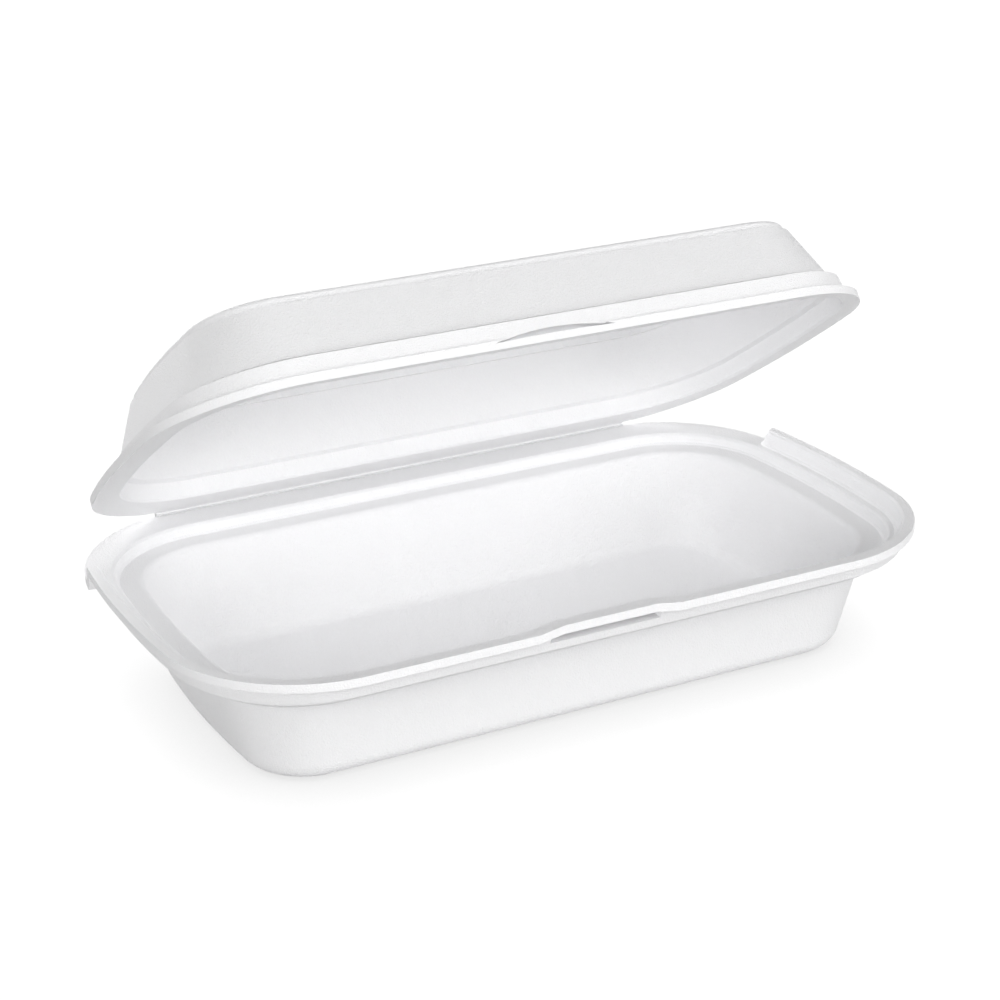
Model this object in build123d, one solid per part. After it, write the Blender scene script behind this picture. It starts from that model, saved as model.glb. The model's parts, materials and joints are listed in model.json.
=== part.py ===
"""Foam clamshell food container: one thermoformed sheet, a tray and a lid joined at a creased strip.

Frame: +X along the length and the crease, -Y to the front, +Z up, millimetres.
The origin is the centre of the tray's foot, on the surface that the container stands on.
Both halves are drawn as they are formed, laid flat with the open side up, and the lid is then folded over.
"""
from build123d import *
from dataclasses import dataclass
from math import atan2, degrees, hypot, sqrt
import os

# The sheet
SHEET = 2.5
BOW_RADIUS = 330.0

# Heights of the tray's levels, as steps from one to the next
LEDGE_HEIGHT = 33.3
RISER_RISE = 3.4
LIP_RISE = 4.9

# The tray's cavity in plan, from the foot outward, as the upper face of the sheet
FOOT_HALF_LENGTH = 96.4
FOOT_HALF_WIDTH = 44.8
FOOT_CORNER = 17.0
FOOT_ROUND = 7.0
WALL_RUN = 8.0
LEDGE_WIDTH_ENDS = 7.7
LEDGE_WIDTH_SIDES = 8.1
LEDGE_CORNER_GROWTH = 7.1
RISER_RUN = 0.9
SEAT_WIDTH_ENDS = 3.1
SEAT_WIDTH_FRONT = 3.1
SEAT_CORNER_GROWTH = 4.5

# The tray's raised lip
CREST_RUN = 1.5
LIP_WIDTH_ENDS = 3.4
LIP_WIDTH_FRONT = 4.5
LIP_CORNER_GROWTH = 4.0
LIP_END = 36.5
LIP_END_ROUND = 4.0

# The crease
BACK_FLANGE = 13.0
CREASE_TRIM = 1.2
BACK_CORNER = 46.0
HINGE_STRIP = 4.0
HINGE_WEB = 1.2
HINGE_GROOVE = 0.5
HINGE_GAP = 0.3
SEAT_GAP = 0.3

# The lid, as depths from its flange's contact face and distances from its edge or the crease
LID_SEAT_CLEARANCE = 0.7
LID_END_CLEARANCE = 1.2
LID_CORNER_EASE = 2.0
LID_BACK_CORNER = 40.0
SKIRT_INSET_FRONT = 3.5
SKIRT_INSET_ENDS = 7.8
SKIRT_FROM_CREASE = 16.5
SKIRT_CORNER_DROP = 8.5
SKIRT_DEPTH = 5.3
SKIRT_RUN = 0.9
SHOULDER_RUN = 2.0
SHOULDER_DEPTH = 0.8
LID_WALL_DEPTH = 17.0
LID_WALL_RUN = 7.6
PANEL_STEP_INSET = 1.5
PANEL_STEP_DEPTH = 2.9
PANEL_STEP_RUN = 0.6
LID_OPENING = 33.4

# The lock
LOCK_CENTRE = -4.0
TONGUE_LENGTH = 29.0
TONGUE_RAMP = 8.0
TONGUE_RAISE = 1.3
TRAY_SLOT_LENGTH = 35.0
LID_SLOT_LENGTH = 37.5
LID_SLOT_STRIP = 1.8
LID_SLOT_BOW = 0.4
LID_SLOT_RISE = 2.0

# The sheet's bends: wide ones are round, and tight ones are a narrow flat, given by its reach on each side
BEND_LARGE = 2.0
BEND_FLAT = 0.65
LEDGE_UNDER_FLAT = 1.4
LID_PANEL_ROUND = 1.6
LID_PANEL_FLAT = 0.5

# Reach of the cutting bodies past the sheet, and the room round the edges that a search takes in
PAST = 40.0
ROOM = 1.0
FLAT_ANGLE = 180.0


@dataclass(frozen=True)
class Outline:
    """Plan outline with a straight front and back, rounded corners and ends that bow outward.

    `middle` is the line on which the outline is longest.
    """

    half_length: float
    front: float
    back: float
    front_corner: float
    back_corner: float
    middle: float = 0.0
    bow: float = BOW_RADIUS

    def grown(self, by):
        """The outline moved outward all round, or inward for a negative value."""
        return Outline(self.half_length + by, self.front - by, self.back + by, self.front_corner + by,
                       self.back_corner + by, self.middle, self.bow + by)

    def corner(self, edge_y, radius, side):
        """Centre and the two tangent points of one right-hand corner, side +1 at the back and -1 in front."""
        end_x = self.half_length - self.bow
        centre_y = edge_y - side * radius
        reach = self.bow - radius
        centre_x = end_x + sqrt(reach ** 2 - (centre_y - self.middle) ** 2)
        scale = self.bow / reach
        on_end = (end_x + (centre_x - end_x) * scale, self.middle + (centre_y - self.middle) * scale)
        on_edge = (centre_x, edge_y)
        return (centre_x, centre_y), on_end, on_edge

    def wire(self, height):
        """Closed wire of the outline at a height."""
        front_centre, front_end, front_edge = self.corner(self.front, self.front_corner, -1)
        back_centre, back_end, back_edge = self.corner(self.back, self.back_corner, 1)
        end_point = (self.half_length, self.middle)
        edges = [Edge.make_line(at(mirrored(front_edge), height), at(front_edge, height))]
        edges.append(arc(front_edge, halfway(front_centre, front_edge, front_end), front_end, height))
        edges.append(arc(front_end, end_point, back_end, height))
        edges.append(arc(back_end, halfway(back_centre, back_end, back_edge), back_edge, height))
        edges.append(Edge.make_line(at(back_edge, height), at(mirrored(back_edge), height)))
        edges.append(arc(mirrored(back_edge), mirrored(halfway(back_centre, back_end, back_edge)),
                         mirrored(back_end), height))
        edges.append(arc(mirrored(back_end), mirrored(end_point), mirrored(front_end), height))
        edges.append(arc(mirrored(front_end), mirrored(halfway(front_centre, front_edge, front_end)),
                         mirrored(front_edge), height))
        return Wire(edges)


@dataclass(frozen=True)
class SunkOutline:
    """Plan outline of the tray's sunk seat: inside the raised lip, and open past its two ends at the back."""

    half_length: float
    front: float
    front_corner: float
    lip_end: float = LIP_END
    end_round: float = LIP_END_ROUND
    bow: float = BOW_RADIUS

    def grown(self, by):
        """The outline moved outward all round, into the lip."""
        return SunkOutline(self.half_length + by, self.front - by, self.front_corner + by,
                           self.lip_end - by, self.end_round - by, self.bow + by)

    def wire(self, height):
        """Closed wire of the outline at a height."""
        inner = Outline(self.half_length, self.front, PAST * 3, self.front_corner, self.front_corner,
                        bow=self.bow)
        centre, on_end, on_edge = inner.corner(self.front, self.front_corner, -1)
        end_x = self.half_length - self.bow
        round_y = self.lip_end - self.end_round
        reach = self.bow + self.end_round
        round_x = end_x + sqrt(reach ** 2 - round_y ** 2)
        scale = self.bow / reach
        round_start = (end_x + (round_x - end_x) * scale, round_y * scale)
        round_end = (round_x, self.lip_end)
        round_middle = halfway((round_x, round_y), round_start, round_end)
        outer_x = self.half_length + PAST
        outer_y = CREASE_FROM_CENTRE + PAST
        end_middle_y = (on_end[1] + round_start[1]) / 2
        end_middle = (end_x + sqrt(self.bow ** 2 - end_middle_y ** 2), end_middle_y)
        right = [
            arc(on_edge, halfway(centre, on_edge, on_end), on_end, height),
            arc(on_end, end_middle, round_start, height),
            arc(round_start, round_middle, round_end, height),
            Edge.make_line(at(round_end, height), (outer_x, self.lip_end, height)),
            Edge.make_line((outer_x, self.lip_end, height), (outer_x, outer_y, height)),
        ]
        left = [
            Edge.make_line((-outer_x, outer_y, height), (-outer_x, self.lip_end, height)),
            Edge.make_line((-outer_x, self.lip_end, height), at(mirrored(round_end), height)),
            arc(mirrored(round_end), mirrored(round_middle), mirrored(round_start), height),
            arc(mirrored(round_start), mirrored(end_middle), mirrored(on_end), height),
            arc(mirrored(on_end), mirrored(halfway(centre, on_edge, on_end)), mirrored(on_edge), height),
        ]
        front_line = Edge.make_line(at(mirrored(on_edge), height), at(on_edge, height))
        back_line = Edge.make_line((outer_x, outer_y, height), (-outer_x, outer_y, height))
        return Wire([front_line] + right + [back_line] + left)


def at(point, height):
    """A plan point raised to a height."""
    return (point[0], point[1], height)


def mirrored(point):
    """A plan point on the other side of the middle."""
    return (-point[0], point[1])


def halfway(centre, start, end):
    """The point in the middle of the short arc between two points about a centre."""
    along = ((start[0] + end[0]) / 2 - centre[0], (start[1] + end[1]) / 2 - centre[1])
    radius = hypot(start[0] - centre[0], start[1] - centre[1])
    scale = radius / hypot(*along)
    return (centre[0] + along[0] * scale, centre[1] + along[1] * scale)


def arc(start, middle, end, height):
    """Arc through three plan points at a height."""
    return Edge.make_three_point_arc(at(start, height), at(middle, height), at(end, height))


def prism(outline, low, high):
    """Upright solid of an outline between two heights."""
    return Solid.extrude(Face(outline.wire(low)), (0, 0, high - low))


def tapered(outline, low, high, run):
    """Solid that stands on an outline and spreads evenly by a run all round on the way up."""
    rise = high - low
    return Solid.extrude_taper(Face(outline.wire(low)), (0, 0, rise), -degrees(atan2(run, rise)))


def bend_shift(run, rise):
    """How far outward the sheet's under face stands at a bend between a level face and a sloping one."""
    return SHEET * (hypot(run, rise) - run) / rise


def edges_at(solid, height, tolerance=0.01):
    """All edges that lie at one height."""
    return solid.edges().filter_by_position(Axis.Z, height - tolerance, height + tolerance)


def edges_along(solid, outline, height, tolerance=0.05):
    """Edges at one height that run along an outline."""
    line = outline.wire(height)
    return [edge for edge in edges_at(solid, height)
            if line.distance_to(Vertex(*edge.position_at(0.5))) < tolerance]


def one_solid(shape):
    """The largest solid of a result."""
    return max(shape.solids(), key=lambda solid: solid.volume)


# Heights that follow from the driving ones
FLANGE_HEIGHT = LEDGE_HEIGHT + RISER_RISE
LIP_HEIGHT = FLANGE_HEIGHT + LIP_RISE
HINGE_AXIS_HEIGHT = FLANGE_HEIGHT + SEAT_GAP / 2

# The tray's outlines, each from the one inside it
FOOT = Outline(FOOT_HALF_LENGTH, -FOOT_HALF_WIDTH, FOOT_HALF_WIDTH, FOOT_CORNER, FOOT_CORNER)
WALL_TOP = FOOT.grown(WALL_RUN)
RISER_FOOT = Outline(WALL_TOP.half_length + LEDGE_WIDTH_ENDS, WALL_TOP.front - LEDGE_WIDTH_SIDES,
                     WALL_TOP.back + LEDGE_WIDTH_SIDES, WALL_TOP.front_corner + LEDGE_CORNER_GROWTH,
                     WALL_TOP.back_corner + LEDGE_CORNER_GROWTH)
RISER_TOP = RISER_FOOT.grown(RISER_RUN)
SEAT = SunkOutline(RISER_TOP.half_length + SEAT_WIDTH_ENDS, RISER_TOP.front - SEAT_WIDTH_FRONT,
                   RISER_TOP.front_corner + SEAT_CORNER_GROWTH)
CREST = SEAT.grown(CREST_RUN)
CREASE_FROM_CENTRE = RISER_TOP.back + BACK_FLANGE
TRAY_TRIM = Outline(CREST.half_length + LIP_WIDTH_ENDS, CREST.front - LIP_WIDTH_FRONT,
                    CREASE_FROM_CENTRE + CREASE_TRIM, CREST.front_corner + LIP_CORNER_GROWTH, BACK_CORNER)

# The lid's outlines as it lies flat, each from the one outside it
LID_REACH = CREASE_FROM_CENTRE - SEAT.front - LID_SEAT_CLEARANCE
LID_EDGE = CREASE_FROM_CENTRE + LID_REACH
LID_MIDDLE = 2 * CREASE_FROM_CENTRE
LID_TRIM = Outline(SEAT.half_length - LID_END_CLEARANCE, CREASE_FROM_CENTRE - CREASE_TRIM, LID_EDGE,
                   LID_BACK_CORNER, SEAT.front_corner + LID_CORNER_EASE, LID_MIDDLE)
SKIRT_CORNER = LID_TRIM.back_corner - SKIRT_CORNER_DROP
SKIRT = Outline(LID_TRIM.half_length - SKIRT_INSET_ENDS, CREASE_FROM_CENTRE + SKIRT_FROM_CREASE,
                LID_EDGE - SKIRT_INSET_FRONT, SKIRT_CORNER, SKIRT_CORNER, LID_MIDDLE)
SKIRT_FOOT = SKIRT.grown(-SKIRT_RUN)
SHOULDER = SKIRT_FOOT.grown(-SHOULDER_RUN)
PANEL = SHOULDER.grown(-LID_WALL_RUN)
STEP = PANEL.grown(-PANEL_STEP_INSET)
STEP_FOOT = STEP.grown(-PANEL_STEP_RUN)

# Reach over the whole container, laid flat
WHOLE_HALF_LENGTH = TRAY_TRIM.half_length + PAST
WHOLE_FRONT = TRAY_TRIM.front - PAST
WHOLE_BACK = LID_EDGE + PAST


def slab(low, high, front=WHOLE_FRONT, back=WHOLE_BACK):
    """A body wider than the container between two heights."""
    place = Pos(0, (front + back) / 2, (low + high) / 2)
    return place * Box(2 * WHOLE_HALF_LENGTH, back - front, high - low)


def both_sides(shape):
    """The right half of a shape and its mirror image."""
    right = one_solid(split(shape, bisect_by=Plane.YZ, keep=Keep.TOP))
    return one_solid(right + mirror(right, about=Plane.YZ))


def seat_edges(solid, height):
    """The edges of the seat's foot or of the lip's crest, without the cutting body's far sides."""
    chosen = []
    for edge in edges_at(solid, height):
        middle = edge.center()
        if abs(middle.X) < CREST.half_length + PAST - ROOM and TRAY_TRIM.front < middle.Y < LIP_END + ROOM:
            chosen.append(edge)
    return chosen


def tray_cavity():
    """Everything above the tray's upper face."""
    bowl = tapered(FOOT, SHEET, LEDGE_HEIGHT, WALL_RUN)
    bowl = bowl.fillet(FOOT_ROUND - SHEET, edges_at(bowl, SHEET))
    riser = tapered(RISER_FOOT, LEDGE_HEIGHT, FLANGE_HEIGHT, RISER_RUN)
    riser = riser.chamfer(BEND_FLAT, None, edges_at(riser, LEDGE_HEIGHT))
    hollow = one_solid(bowl + riser)
    hollow = hollow.fillet(BEND_LARGE, edges_along(hollow, WALL_TOP, LEDGE_HEIGHT))
    seat = tapered(SEAT, FLANGE_HEIGHT, LIP_HEIGHT, CREST_RUN)
    seat = seat.chamfer(BEND_FLAT, None, seat_edges(seat, FLANGE_HEIGHT))
    hollow = one_solid(hollow + seat)
    hollow = hollow.chamfer(BEND_FLAT, None, edges_along(hollow, RISER_TOP, FLANGE_HEIGHT))
    hollow = one_solid(hollow + slab(LIP_HEIGHT, LIP_HEIGHT + PAST))
    return hollow.chamfer(BEND_FLAT, None, seat_edges(hollow, LIP_HEIGHT))


def tray_body():
    """Everything inside the tray's under face and its trimmed edge."""
    wall_shift = bend_shift(WALL_RUN, LEDGE_HEIGHT - SHEET)
    riser_shift = bend_shift(RISER_RUN, RISER_RISE)
    crest_shift = bend_shift(CREST_RUN, LIP_RISE)
    foot = tapered(FOOT.grown(wall_shift), 0, LEDGE_HEIGHT - SHEET, WALL_RUN)
    foot = foot.fillet(FOOT_ROUND, edges_at(foot, 0))
    riser = tapered(RISER_FOOT.grown(riser_shift), LEDGE_HEIGHT - SHEET, FLANGE_HEIGHT - SHEET, RISER_RUN)
    riser = riser.chamfer(LEDGE_UNDER_FLAT, None, edges_at(riser, LEDGE_HEIGHT - SHEET))
    under_seat = tapered(SEAT.grown(crest_shift), FLANGE_HEIGHT - SHEET, LIP_HEIGHT - SHEET, CREST_RUN)
    trimmed = prism(TRAY_TRIM, FLANGE_HEIGHT - SHEET, LIP_HEIGHT)
    rim = trimmed & (under_seat + slab(LIP_HEIGHT - SHEET, LIP_HEIGHT))
    return one_solid(foot + riser + rim)


def hinge_relief(side):
    """What is pressed out of the sheet beside the crease: side -1 is the tray's half and +1 the lid's."""
    strip = HINGE_STRIP / 2
    centre_y = CREASE_FROM_CENTRE + side * strip / 2
    groove_floor = FLANGE_HEIGHT - HINGE_GROOVE
    web_floor = groove_floor - HINGE_WEB
    above = Pos(0, centre_y, groove_floor + PAST / 2) * Box(2 * WHOLE_HALF_LENGTH, strip, PAST)
    below = Pos(0, centre_y, web_floor - PAST / 2) * Box(2 * WHOLE_HALF_LENGTH, strip, PAST)
    return above + below


def tongue_band(height):
    """The raised stretch of the lip's middle in front view, from one height to the raised height."""
    half = TONGUE_LENGTH / 2
    points = [(-half - TONGUE_RAMP, height), (-half, height + TONGUE_RAISE), (half, height + TONGUE_RAISE),
              (half + TONGUE_RAMP, height)]
    face = Plane.XZ * Pos(LOCK_CENTRE, 0) * make_face(Polyline(*points, close=True))
    return Pos(0, CREST.front, 0) * extrude(face, amount=PAST, both=True)


def tray():
    """The tray: bowl, ledge, seat, raised lip with its tongue and slot, and its half of the crease."""
    body = both_sides(tray_body() - tray_cavity())
    front_strip = prism(TRAY_TRIM, LIP_HEIGHT - SHEET, LIP_HEIGHT + TONGUE_RAISE)
    front_strip = front_strip - prism(CREST, LIP_HEIGHT - SHEET - ROOM, LIP_HEIGHT + PAST)
    body = body + (front_strip & tongue_band(LIP_HEIGHT))
    slot_height = LIP_RISE - SHEET
    slot = Pos(LOCK_CENTRE, CREST.front, FLANGE_HEIGHT + slot_height / 2) * Box(
        TRAY_SLOT_LENGTH, 2 * (LIP_WIDTH_FRONT + ROOM), slot_height)
    body = body - slot
    lip_root = CREST.front - bend_shift(CREST_RUN, LIP_RISE)
    under_tongue = tongue_band(LIP_HEIGHT - SHEET) & slab(0, LIP_HEIGHT + PAST, WHOLE_FRONT, lip_root)
    body = body - under_tongue
    body = body - hinge_relief(-1)
    body = body & slab(-ROOM, LIP_HEIGHT + PAST, WHOLE_FRONT, CREASE_FROM_CENTRE - HINGE_GAP / 2)
    return one_solid(body)


def lid_stack(skirt_shift, wall_shift, step_shift, drop):
    """The lid inside one face of the sheet, laid flat, panel down: its skirt, shoulder and wall, and its step."""
    skirt_top = FLANGE_HEIGHT - drop
    shoulder_top = skirt_top - SKIRT_DEPTH
    wall_top = shoulder_top - SHOULDER_DEPTH
    step_top = wall_top - LID_WALL_DEPTH
    panel_height = step_top - PANEL_STEP_DEPTH
    skirt = tapered(SKIRT_FOOT.grown(skirt_shift), shoulder_top, skirt_top, SKIRT_RUN)
    shoulder_run = SHOULDER_RUN + skirt_shift - wall_shift
    shoulder = tapered(SHOULDER.grown(wall_shift), wall_top, shoulder_top, shoulder_run)
    wall = tapered(PANEL.grown(wall_shift), step_top, wall_top, LID_WALL_RUN)
    step = tapered(STEP_FOOT.grown(step_shift), panel_height, step_top, PANEL_STEP_RUN)
    return skirt + shoulder + wall, step


def lid_cavity():
    """Everything above the lid's upper face, laid flat."""
    stack, step = lid_stack(0.0, 0.0, 0.0, 0.0)
    step = step.chamfer(LID_PANEL_FLAT, None, edges_at(step, step.bounding_box().min.Z))
    hollow = one_solid(stack + step + slab(FLANGE_HEIGHT, FLANGE_HEIGHT + PAST))
    return hollow.chamfer(BEND_FLAT, None, edges_along(hollow, SKIRT, FLANGE_HEIGHT))


def lid_body():
    """Everything inside the lid's under face and its trimmed edge, laid flat."""
    stack, step = lid_stack(bend_shift(SKIRT_RUN, SKIRT_DEPTH), bend_shift(LID_WALL_RUN, LID_WALL_DEPTH),
                            bend_shift(PANEL_STEP_RUN, PANEL_STEP_DEPTH), SHEET)
    step = step.fillet(LID_PANEL_ROUND, edges_at(step, step.bounding_box().min.Z))
    return one_solid(stack + step + prism(LID_TRIM, FLANGE_HEIGHT - SHEET, FLANGE_HEIGHT))


def lid_slot():
    """The crescent slot above the lid's front strip, laid flat."""
    half = LID_SLOT_LENGTH / 2
    low = FLANGE_HEIGHT - LID_SLOT_STRIP
    lower = ThreePointArc((-half, low), (0, low - LID_SLOT_BOW), (half, low))
    upper = ThreePointArc((half, low), (0, low - LID_SLOT_BOW - LID_SLOT_RISE), (-half, low))
    face = Plane.XZ * Pos(LOCK_CENTRE, 0) * make_face(lower + upper)
    return Pos(0, LID_EDGE + ROOM, 0) * extrude(face, amount=SKIRT_INSET_FRONT + SHEET + ROOM)


def lid_flat():
    """The lid as formed, laid flat beyond the crease."""
    body = both_sides(lid_body() - lid_cavity()) - lid_slot() - hinge_relief(1)
    body = body & slab(-ROOM, LIP_HEIGHT, CREASE_FROM_CENTRE + HINGE_GAP / 2, WHOLE_BACK)
    return one_solid(body)


def fold(shape, angle):
    """A shape turned up about the crease from where it lies flat."""
    axis = Axis((0, CREASE_FROM_CENTRE, HINGE_AXIS_HEIGHT), (1, 0, 0))
    return shape.rotate(axis, angle)


def lid():
    """The lid at its opening angle above the tray."""
    return fold(lid_flat(), FLAT_ANGLE - LID_OPENING)


def main():
    """Build both halves and write them."""
    os.makedirs("parts", exist_ok=True)
    for name, make in (("tray", tray), ("lid", lid)):
        export_step(make(), f"parts/{name}.step")


if __name__ == "__main__":
    main()
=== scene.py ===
"""Looks of the foam clamshell container: foam finish, the creased strip, studio and camera.

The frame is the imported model's own: metres, +X along the crease, -Y to the front, +Z up.
"""

import json
import logging
import math
from dataclasses import dataclass, field
from enum import Enum

import bmesh
import bpy
from mathutils import Matrix, Vector


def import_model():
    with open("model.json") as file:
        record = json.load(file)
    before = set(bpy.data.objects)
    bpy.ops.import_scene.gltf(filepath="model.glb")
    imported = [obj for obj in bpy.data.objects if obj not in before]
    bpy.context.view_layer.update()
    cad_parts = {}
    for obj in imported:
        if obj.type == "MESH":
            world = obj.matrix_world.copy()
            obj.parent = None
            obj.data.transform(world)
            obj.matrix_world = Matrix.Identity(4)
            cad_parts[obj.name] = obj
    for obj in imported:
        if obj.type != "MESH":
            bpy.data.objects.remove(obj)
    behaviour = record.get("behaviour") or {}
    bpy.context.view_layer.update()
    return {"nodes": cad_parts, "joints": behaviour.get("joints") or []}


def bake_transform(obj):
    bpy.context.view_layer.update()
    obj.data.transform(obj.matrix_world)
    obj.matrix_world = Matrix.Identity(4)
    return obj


LOG = logging.getLogger("clamshell")
MILLIMETRE = 0.001


class Half(Enum):
    """The two halves of the container, by the name of their body and of their node."""

    TRAY = "tray"
    LID = "lid"


def add_node(tree: bpy.types.NodeTree, kind: str, **values: object) -> bpy.types.Node:
    """Add a shader node and set its plain sockets.

    Args:
        tree: The node tree that gets the node.
        kind: Blender's name of the node type.
        values: Socket names, with underscores for spaces, and their values.

    Returns:
        The new node.
    """
    node = tree.nodes.new(kind)
    for name, value in values.items():
        node.inputs[name.replace("_", " ")].default_value = value
    return node


@dataclass(frozen=True)
class FoamFinish:
    """White extruded foam sheet: a soft skin over fine closed cells, with grains that catch the light."""

    slot: str = "foam"
    colour: tuple[float, float, float] = (0.982, 0.981, 0.991)
    grain_colour: tuple[float, float, float] = (0.992, 0.991, 0.998)
    roughness: float = 0.55
    refraction: float = 1.35
    grain_size: float = 0.5 * MILLIMETRE
    grain_depth: float = 0.09 * MILLIMETRE
    grain_reach: float = 0.75
    swell_size: float = 9.0 * MILLIMETRE
    swell_depth: float = 0.05 * MILLIMETRE
    swell_detail: float = 2.0
    sheen: float = 0.12

    def material(self, name: str) -> bpy.types.Material:
        """Build the foam's material.

        Args:
            name: The material's name.

        Returns:
            The material.
        """
        material = bpy.data.materials.new(name)
        material.use_nodes = True
        tree = material.node_tree
        tree.nodes.clear()
        output = tree.nodes.new("ShaderNodeOutputMaterial")
        shader = add_node(tree, "ShaderNodeBsdfPrincipled", Roughness=self.roughness,
                          Sheen_Weight=self.sheen, IOR=self.refraction)
        place = tree.nodes.new("ShaderNodeTexCoord")
        grain = self.grain_nodes(tree, place)
        swell = add_node(tree, "ShaderNodeTexNoise", Scale=1.0 / self.swell_size, Detail=self.swell_detail)
        tree.links.new(place.outputs["Object"], swell.inputs["Vector"])
        swell_bump = add_node(tree, "ShaderNodeBump", Strength=1.0, Distance=self.swell_depth)
        grain_bump = add_node(tree, "ShaderNodeBump", Strength=1.0, Distance=self.grain_depth)
        tree.links.new(swell.outputs["Fac"], swell_bump.inputs["Height"])
        tree.links.new(grain, grain_bump.inputs["Height"])
        tree.links.new(swell_bump.outputs["Normal"], grain_bump.inputs["Normal"])
        tint = tree.nodes.new("ShaderNodeMix")
        tint.data_type = "RGBA"
        tint.inputs["A"].default_value = (*self.colour, 1.0)
        tint.inputs["B"].default_value = (*self.grain_colour, 1.0)
        tree.links.new(grain, tint.inputs["Factor"])
        tree.links.new(tint.outputs["Result"], shader.inputs["Base Color"])
        tree.links.new(grain_bump.outputs["Normal"], shader.inputs["Normal"])
        tree.links.new(shader.outputs["BSDF"], output.inputs["Surface"])
        return material

    def grain_nodes(self, tree: bpy.types.NodeTree, place: bpy.types.Node) -> bpy.types.NodeSocket:
        """Add the cells' pattern, high in the middle of each cell.

        Args:
            tree: The material's node tree.
            place: The node that gives the object's own coordinates.

        Returns:
            The socket with the pattern's height, 0 to 1.
        """
        cells = add_node(tree, "ShaderNodeTexVoronoi", Scale=1.0 / self.grain_size)
        tree.links.new(place.outputs["Object"], cells.inputs["Vector"])
        height = add_node(tree, "ShaderNodeMapRange", From_Min=self.grain_reach, From_Max=0.0)
        tree.links.new(cells.outputs["Distance"], height.inputs["Value"])
        return height.outputs["Result"]


@dataclass(frozen=True)
class FloorFinish:
    """Pale matte floor that the camera sees as white, with a painted contact shadow round what stands on
    it: the white glow is darkened by ambient occlusion.
    """

    brightness: float = 0.50
    seen_brightness: float = 0.06
    lift: float = 1.02
    painted_shadow_reach: float = 26.0 * MILLIMETRE
    painted_shadow_depth: float = 0.30
    painted_shadow_samples: int = 4

    def material(self) -> bpy.types.Material:
        """Build the floor's material: matte for the light, and lifted to white where it is seen directly,
        with painted shade near the object.

        Returns:
            The material.
        """
        material = bpy.data.materials.new("pale_floor")
        material.use_nodes = True
        tree = material.node_tree
        tree.nodes.clear()
        output = tree.nodes.new("ShaderNodeOutputMaterial")
        matte = tree.nodes.new("ShaderNodeBsdfDiffuse")
        shade = add_node(tree, "ShaderNodeMapRange", To_Min=self.brightness, To_Max=self.seen_brightness)
        tree.links.new(seen_directly(tree, 1.0), shade.inputs["Value"])
        tree.links.new(shade.outputs["Result"], matte.inputs["Color"])
        glow = tree.nodes.new("ShaderNodeEmission")
        both = tree.nodes.new("ShaderNodeAddShader")
        # Painted shadow: the glow that the camera sees is darkened by ambient occlusion near the object,
        # whatever the lamps do.
        tree.links.new(self.painted_contact_shadow(tree), glow.inputs["Color"])
        tree.links.new(seen_directly(tree, self.lift), glow.inputs["Strength"])
        tree.links.new(matte.outputs["BSDF"], both.inputs[0])
        tree.links.new(glow.outputs["Emission"], both.inputs[1])
        tree.links.new(both.outputs["Shader"], output.inputs["Surface"])
        return material

    def painted_contact_shadow(self, tree: bpy.types.NodeTree) -> bpy.types.NodeSocket:
        """Add the painted shadow: the share of the lift that is left near what stands on the floor, from
        ambient occlusion and not from the lamps.

        Args:
            tree: The floor's node tree.

        Returns:
            The socket with the share, 1 in the open.
        """
        occlusion = add_node(tree, "ShaderNodeAmbientOcclusion", Distance=self.painted_shadow_reach)
        occlusion.samples = self.painted_shadow_samples
        share = add_node(tree, "ShaderNodeMapRange", To_Min=1.0 - self.painted_shadow_depth, To_Max=1.0)
        tree.links.new(occlusion.outputs["AO"], share.inputs["Value"])
        return share.outputs["Result"]


def seen_directly(tree: bpy.types.NodeTree, value: float) -> bpy.types.NodeSocket:
    """A value for the rays that show the background, and nought for the rays that light things.

    Args:
        tree: The node tree that gets the nodes.
        value: The value for camera, mirror and see-through rays.

    Returns:
        The socket with the value.
    """
    path = tree.nodes.new("ShaderNodeLightPath")
    total = path.outputs["Is Camera Ray"]
    for name in ("Is Glossy Ray", "Is Transmission Ray"):
        larger = tree.nodes.new("ShaderNodeMath")
        larger.operation = "MAXIMUM"
        tree.links.new(total, larger.inputs[0])
        tree.links.new(path.outputs[name], larger.inputs[1])
        total = larger.outputs["Value"]
    scaled = tree.nodes.new("ShaderNodeMath")
    scaled.operation = "MULTIPLY"
    scaled.inputs[1].default_value = value
    tree.links.new(total, scaled.inputs[0])
    return scaled.outputs["Value"]


def dress(piece: bpy.types.Object, material: bpy.types.Material) -> None:
    """Give a piece one material in place of all it has.

    Args:
        piece: The piece to dress.
        material: Its material.
    """
    piece.data.materials.clear()
    piece.data.materials.append(material)


@dataclass
class FormedHalf:
    """One formed half of the container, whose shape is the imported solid's own."""

    half: Half
    finish: FoamFinish = field(default_factory=FoamFinish)

    def build(self, node: bpy.types.Object) -> bpy.types.Object:
        """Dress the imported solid.

        Args:
            node: The solid's object in the frame.

        Returns:
            The same object, dressed.
        """
        dress(node, self.finish.material(f"{self.half.value}_foam"))
        return node


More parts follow.
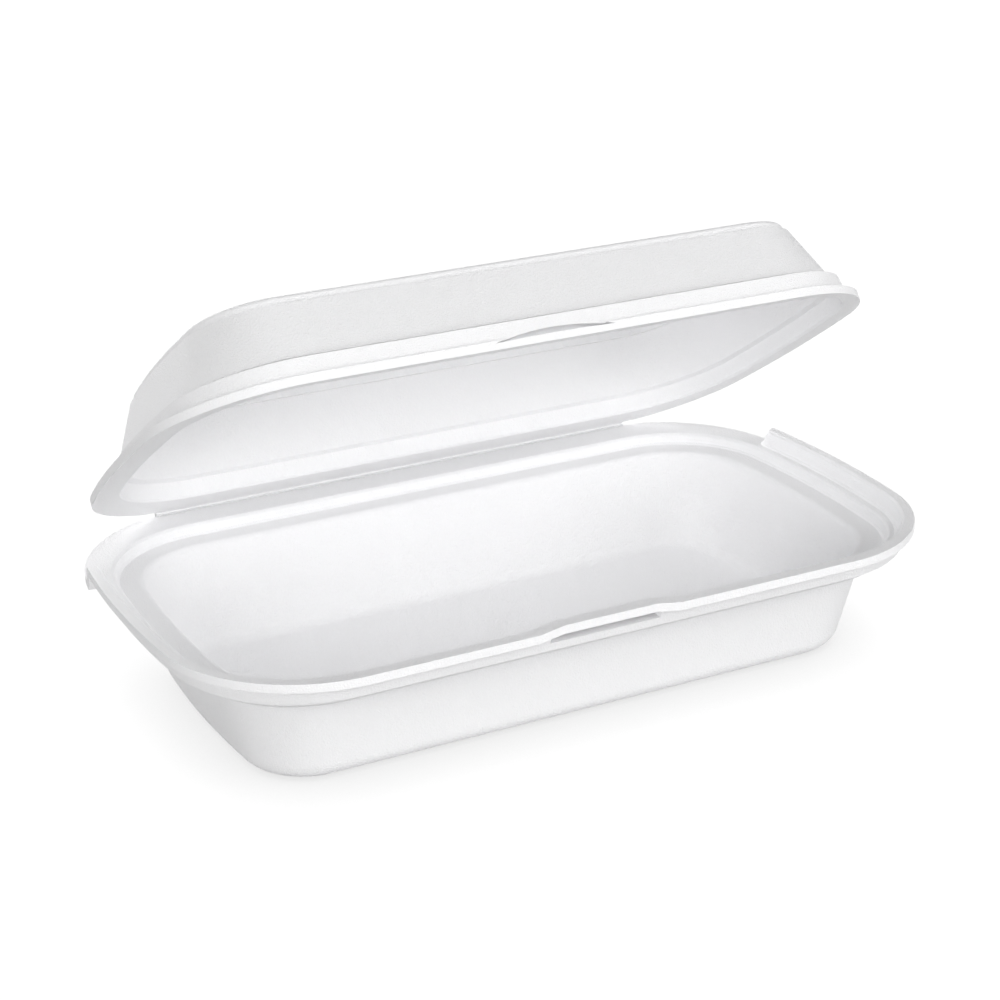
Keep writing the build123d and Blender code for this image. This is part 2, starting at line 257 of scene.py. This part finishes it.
@dataclass
class CreaseStrip:
    """The thin pressed web that bends where tray and lid meet, rolled about the crease's axis."""

    half_length: float = 84.0 * MILLIMETRE
    inner_radius: float = 0.2 * MILLIMETRE
    thickness: float = 1.65 * MILLIMETRE
    tuck: float = 1.0 * MILLIMETRE
    steps: int = 16
    lengths: int = 24
    sharp_over: float = math.radians(35.0)
    merge_within: float = 0.01 * MILLIMETRE
    finish: FoamFinish = field(default_factory=FoamFinish)

    def build(self, axis: Vector, opening: float) -> bpy.types.Object:
        """Roll the web from the tray's side round to the lid's.

        Args:
            axis: A point on the crease's axis.
            opening: The angle in radians through which the lid is folded over from flat.

        Returns:
            The strip's object, rolled round from the tray's side to the lid's.
        """
        mesh = bmesh.new()
        outer = self.inner_radius + self.thickness
        corners = [
            mesh.verts.new((-self.half_length, axis.y - self.tuck, axis.z - radius))
            for radius in (self.inner_radius, outer)
        ]
        edge = mesh.edges.new(corners)
        lead_in = bmesh.ops.extrude_edge_only(mesh, edges=[edge])
        moved = [item for item in lead_in["geom"] if isinstance(item, bmesh.types.BMVert)]
        bmesh.ops.translate(mesh, verts=moved, vec=(0.0, self.tuck, 0.0))
        last = [item for item in lead_in["geom"] if isinstance(item, bmesh.types.BMEdge)]
        rolled = bmesh.ops.spin(mesh, geom=last, cent=axis, axis=(1.0, 0.0, 0.0), angle=opening,
                                steps=self.steps, use_merge=False, use_duplicate=False)
        last = [item for item in rolled["geom_last"] if isinstance(item, bmesh.types.BMEdge)]
        tail = bmesh.ops.extrude_edge_only(mesh, edges=last)
        moved = [item for item in tail["geom"] if isinstance(item, bmesh.types.BMVert)]
        along = Matrix.Rotation(opening, 3, "X") @ Vector((0.0, self.tuck, 0.0))
        bmesh.ops.translate(mesh, verts=moved, vec=along)
        section = list(mesh.faces)
        step = 2.0 * self.half_length / self.lengths
        for _ in range(self.lengths):
            grown = bmesh.ops.extrude_face_region(mesh, geom=section)
            verts = [item for item in grown["geom"] if isinstance(item, bmesh.types.BMVert)]
            bmesh.ops.translate(mesh, verts=verts, vec=(step, 0.0, 0.0))
            section = [item for item in grown["geom"] if isinstance(item, bmesh.types.BMFace)]
        bmesh.ops.remove_doubles(mesh, verts=list(mesh.verts), dist=self.merge_within)
        bmesh.ops.recalc_face_normals(mesh, faces=list(mesh.faces))
        data = bpy.data.meshes.new("crease_strip")
        mesh.to_mesh(data)
        mesh.free()
        data.shade_smooth()
        data.set_sharp_from_angle(angle=self.sharp_over)
        strip = bpy.data.objects.new("crease_strip", data)
        bpy.context.scene.collection.objects.link(strip)
        dress(strip, self.finish.material("crease_foam"))
        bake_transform(strip)
        return strip


@dataclass(frozen=True)
class Viewpoint:
    """The camera's place, found from the rim, the foot and the crease in the photograph."""

    azimuth: float = 27.1022
    elevation: float = 21.7777
    roll: float = -0.8999
    distance: float = 721.8221 * MILLIMETRE
    target: tuple[float, float, float] = (13.7956, 30.2534, 37.8791)
    focal_pixels: float = 2298.3628
    image_pixels: float = 1000.0
    sensor: float = 36.0
    near: float = 0.05
    far: float = 20.0

    def build(self) -> bpy.types.Object:
        """Add the camera and make it the scene's.

        Returns:
            The camera.
        """
        turn = math.radians(self.azimuth)
        tilt = math.radians(self.elevation)
        ahead = Vector((math.sin(turn) * math.cos(tilt), math.cos(turn) * math.cos(tilt), -math.sin(tilt)))
        level = Vector((math.cos(turn), -math.sin(turn), 0.0))
        upward = level.cross(ahead)
        lean = math.radians(self.roll)
        right = level * math.cos(lean) + upward * math.sin(lean)
        up = upward * math.cos(lean) - level * math.sin(lean)
        data = bpy.data.cameras.new("camera")
        data.sensor_fit = "HORIZONTAL"
        data.sensor_width = self.sensor
        data.lens = self.focal_pixels / self.image_pixels * self.sensor
        data.clip_start = self.near
        data.clip_end = self.far
        camera = bpy.data.objects.new("camera", data)
        bpy.context.scene.collection.objects.link(camera)
        turned = Matrix((right, up, -ahead)).transposed().to_4x4()
        place = Vector(self.target) * MILLIMETRE - ahead * self.distance
        camera.matrix_world = Matrix.Translation(place) @ turned
        bpy.context.scene.camera = camera
        return camera


@dataclass(frozen=True)
class SoftLamp:
    """One large soft lamp, placed round the object by compass angle and height angle."""

    name: str
    azimuth: float
    elevation: float
    distance: float
    size: float
    power: float

    def build(self, target: Vector) -> bpy.types.Object:
        """Add the lamp, facing a point.

        Args:
            target: The point that it faces.

        Returns:
            The lamp.
        """
        turn = math.radians(self.azimuth)
        tilt = math.radians(self.elevation)
        out = Vector((math.sin(turn) * math.cos(tilt), -math.cos(turn) * math.cos(tilt), math.sin(tilt)))
        data = bpy.data.lights.new(self.name, "AREA")
        data.shape = "SQUARE"
        data.size = self.size
        data.energy = self.power
        lamp = bpy.data.objects.new(self.name, data)
        bpy.context.scene.collection.objects.link(lamp)
        lamp.location = target + out * self.distance
        lamp.rotation_euler = out.to_track_quat("Z", "Y").to_euler()
        return lamp


@dataclass
class Studio:
    """Pale floor, a little surrounding light and four soft lamps."""

    floor_size: float = 12.0
    surrounding: float = 0.04
    floor_finish: FloorFinish = field(default_factory=FloorFinish)
    lamps: tuple[SoftLamp, ...] = (
        SoftLamp("right", azimuth=45.0, elevation=12.0, distance=1.4, size=1.0, power=11.2),
        SoftLamp("left", azimuth=-45.0, elevation=12.0, distance=1.4, size=1.0, power=12.9),
        SoftLamp("front", azimuth=0.0, elevation=45.0, distance=1.4, size=1.0, power=5.4),
        SoftLamp("back", azimuth=180.0, elevation=12.0, distance=1.4, size=1.0, power=17.5),
    )

    def build(self, target: Vector) -> None:
        """Add the floor, the world's light and the lamps.

        Args:
            target: The point that the lamps face.
        """
        self.floor()
        self.world()
        for lamp in self.lamps:
            lamp.build(target)
        bpy.context.scene.view_settings.view_transform = "Standard"

    def floor(self) -> bpy.types.Object:
        """Add the floor under the object, at the height on which it stands.

        Returns:
            The floor.
        """
        mesh = bmesh.new()
        bmesh.ops.create_grid(mesh, x_segments=1, y_segments=1, size=self.floor_size / 2.0)
        data = bpy.data.meshes.new("floor")
        mesh.to_mesh(data)
        mesh.free()
        floor = bpy.data.objects.new("floor", data)
        bpy.context.scene.collection.objects.link(floor)
        dress(floor, self.floor_finish.material())
        return floor

    def world(self) -> bpy.types.World:
        """Set the surrounding light, which the camera sees as white.

        Returns:
            The world.
        """
        world = bpy.data.worlds.new("soft_room")
        bpy.context.scene.world = world
        world.use_nodes = True
        tree = world.node_tree
        tree.nodes.clear()
        output = tree.nodes.new("ShaderNodeOutputWorld")
        room = add_node(tree, "ShaderNodeBackground", Color=(1.0, 1.0, 1.0, 1.0))
        brighter = tree.nodes.new("ShaderNodeMath")
        brighter.operation = "ADD"
        brighter.inputs[1].default_value = self.surrounding
        tree.links.new(seen_directly(tree, 1.0 - self.surrounding), brighter.inputs[0])
        tree.links.new(brighter.outputs["Value"], room.inputs["Strength"])
        tree.links.new(room.outputs["Background"], output.inputs["Surface"])
        return world


def hinge_of(joints: list[dict[str, object]]) -> tuple[Vector, float]:
    """Read the crease's axis and the lid's fold from the record.

    Args:
        joints: The record's joints.

    Returns:
        A point on the axis, and the angle in radians through which the lid is folded over from flat.
    """
    joint = joints[0]
    to_flat = max(joint["range_deg"])
    return Vector(joint["pos_m"]), math.radians(to_flat)


def main() -> None:
    """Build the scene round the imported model."""
    logging.basicConfig(level=logging.INFO, format="%(message)s")
    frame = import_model()
    Viewpoint().build()
    axis, opening = hinge_of(frame["joints"])
    pieces = [FormedHalf(half).build(frame["nodes"][half.value]) for half in Half]
    pieces.append(CreaseStrip().build(axis, opening))
    for piece in pieces:
        LOG.info("%s ready, %d faces", piece.name, len(piece.data.polygons))
    Studio().build(Vector((0.0, 0.0, axis.z)))


if __name__ == "__main__":
    main()
